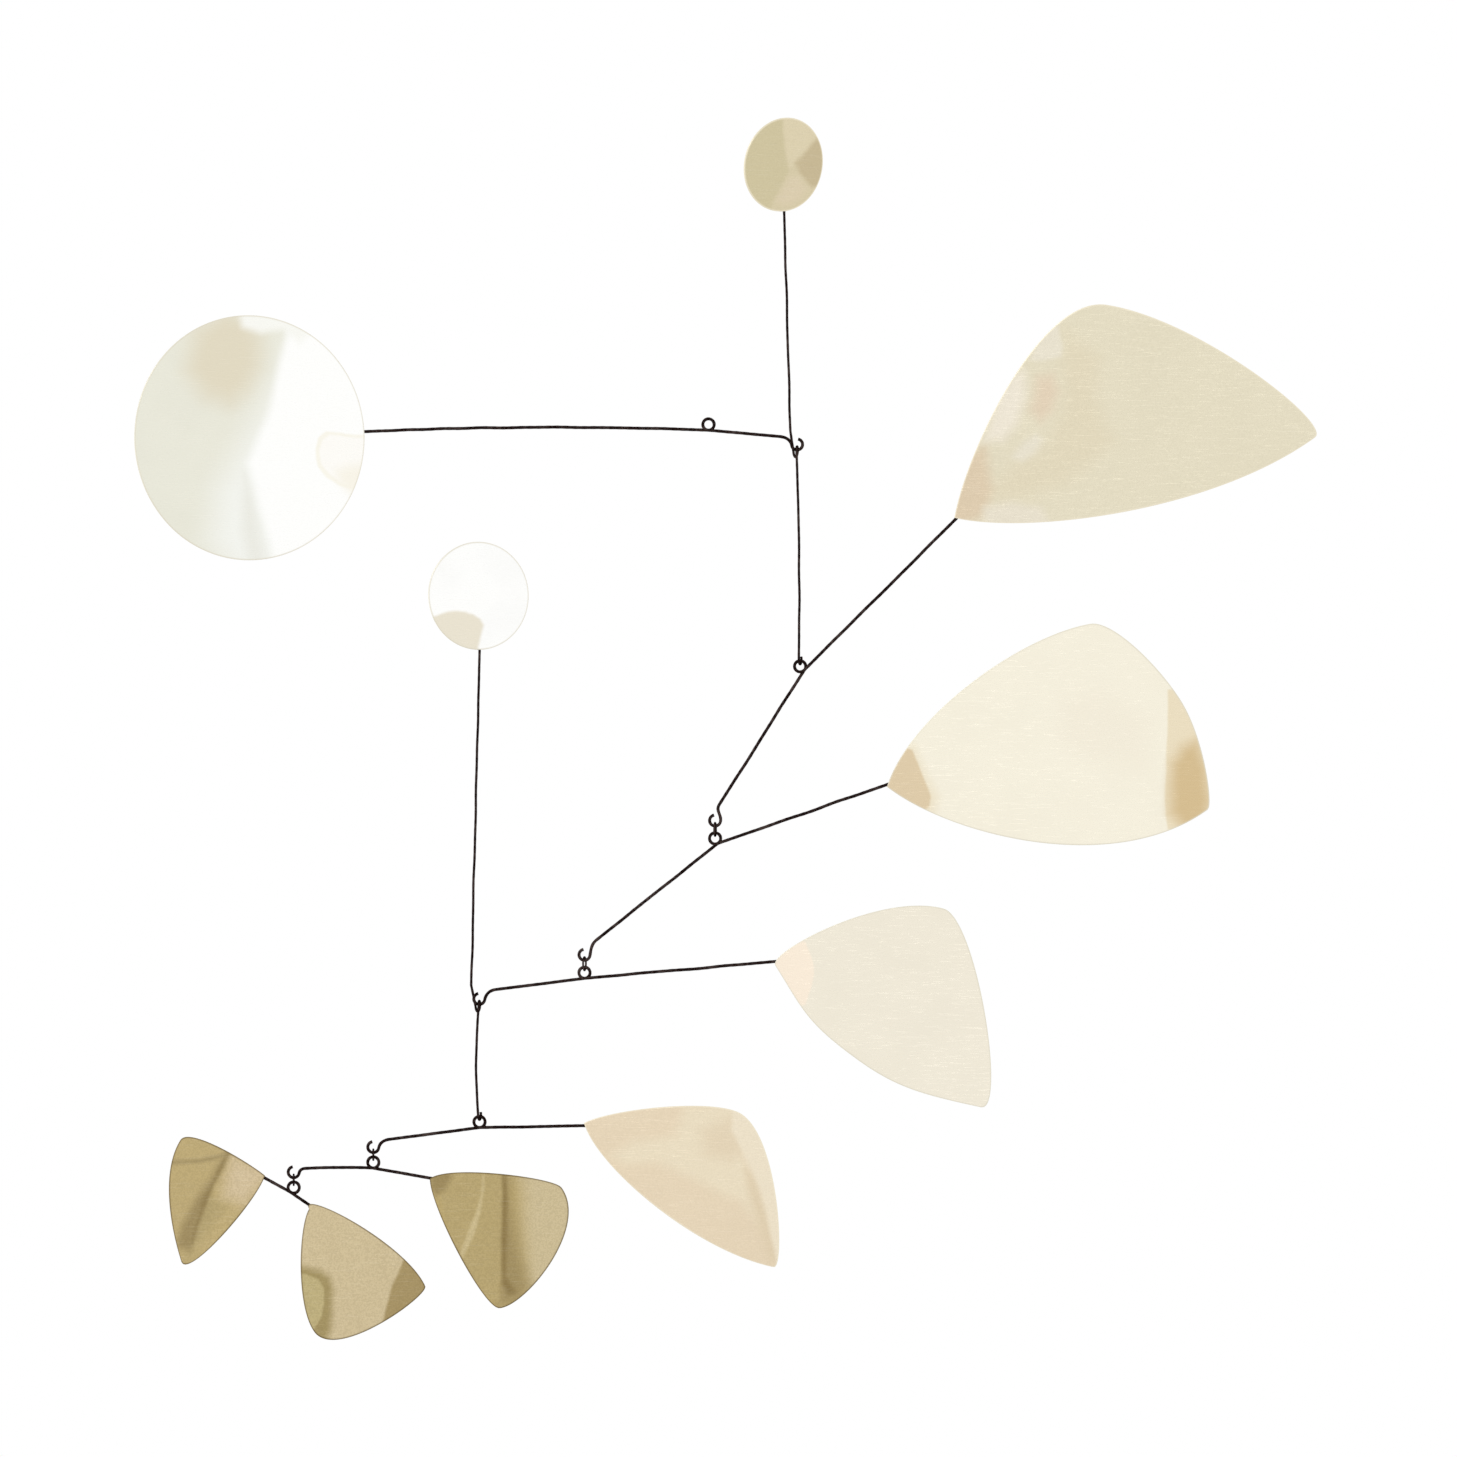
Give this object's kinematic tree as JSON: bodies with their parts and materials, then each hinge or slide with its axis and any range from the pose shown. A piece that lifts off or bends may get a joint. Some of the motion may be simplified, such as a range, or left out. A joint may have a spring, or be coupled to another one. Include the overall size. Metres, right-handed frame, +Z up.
{
  "type": "hanging mobile sculpture",
  "caption": "Hanging mobile of round and leaf-shaped brass plates on bent iron wire arms that swivel in hooks, eyes and jump rings.",
  "frame": {"origin": "middle of the hanging eye in the top arm's wire, from which the whole mobile hangs", "axes": "+Z up, -Y towards the front, +X to the viewer's right"},
  "size_m": [0.5896, 0.0534, 0.6107],
  "materials": {
    "iron_wire": "annealed iron wire, dark brown and slightly glossy",
    "pale_brass": "polished, very pale in reflected light",
    "brass": "polished with fine scratches",
    "old_brass": "duller, with darker creased patches"
  },
  "bodies": {
    "top_arm": {"top_arm_wire": "iron_wire", "large_disc": "pale_brass"},
    "upper_upright": {"upper_upright_wire": "iron_wire", "top_disc": "brass"},
    "leaf_1_arm": {"leaf_1_arm_wire": "iron_wire", "leaf_1": "brass", "ring_1": "iron_wire"},
    "leaf_2_arm": {"leaf_2_arm_wire": "iron_wire", "leaf_2": "pale_brass", "ring_2": "iron_wire"},
    "leaf_3_arm": {"leaf_3_arm_wire": "iron_wire", "leaf_3": "pale_brass"},
    "lower_upright": {"lower_upright_wire": "iron_wire", "small_disc": "pale_brass"},
    "leaf_4_arm": {"leaf_4_arm_wire": "iron_wire", "leaf_4": "brass", "ring_3": "iron_wire"},
    "leaf_5_arm": {"leaf_5_arm_wire": "iron_wire", "leaf_5": "old_brass", "ring_4": "iron_wire"},
    "bottom_arm": {"bottom_arm_wire": "iron_wire", "leaf_6": "old_brass", "leaf_7": "old_brass"}
  },
  "joints": [
    {"name": "upper_upright_swivel", "type": "hinge", "parent": "top_arm", "child": "upper_upright", "pos_m": [0.0443, 0, -0.01365], "axis": [0, 0, 1], "range_deg": [-9, 39]},
    {"name": "leaf_1_swivel", "type": "hinge", "parent": "upper_upright", "child": "leaf_1_arm", "pos_m": [0.0458, 0, -0.1209], "axis": [0, 0, 1], "range_deg": [-39, 9]},
    {"name": "leaf_2_swivel", "type": "hinge", "parent": "leaf_1_arm", "child": "leaf_2_arm", "pos_m": [0.0033, 0, -0.20695], "axis": [0, 0, 1], "range_deg": [-36, 20]},
    {"name": "leaf_3_swivel", "type": "hinge", "parent": "leaf_2_arm", "child": "leaf_3_arm", "pos_m": [-0.062, 0, -0.2741], "axis": [0, 0, 1], "range_deg": [-40, 16]},
    {"name": "lower_upright_swivel", "type": "hinge", "parent": "leaf_3_arm", "child": "lower_upright", "pos_m": [-0.1146, 0, -0.29085], "axis": [0, 0, 1], "range_deg": [-9, 39]},
    {"name": "leaf_4_swivel", "type": "hinge", "parent": "lower_upright", "child": "leaf_4_arm", "pos_m": [-0.1145, 0, -0.3487], "axis": [0, 0, 1], "range_deg": [-39, 9]},
    {"name": "leaf_5_swivel", "type": "hinge", "parent": "leaf_4_arm", "child": "leaf_5_arm", "pos_m": [-0.1676, 0, -0.36895], "axis": [0, 0, 1], "range_deg": [-26, 26]},
    {"name": "bottom_swivel", "type": "hinge", "parent": "leaf_5_arm", "child": "bottom_arm", "pos_m": [-0.2074, 0, -0.3815], "axis": [0, 0, 1], "range_deg": [-26, 26]}
  ]
}
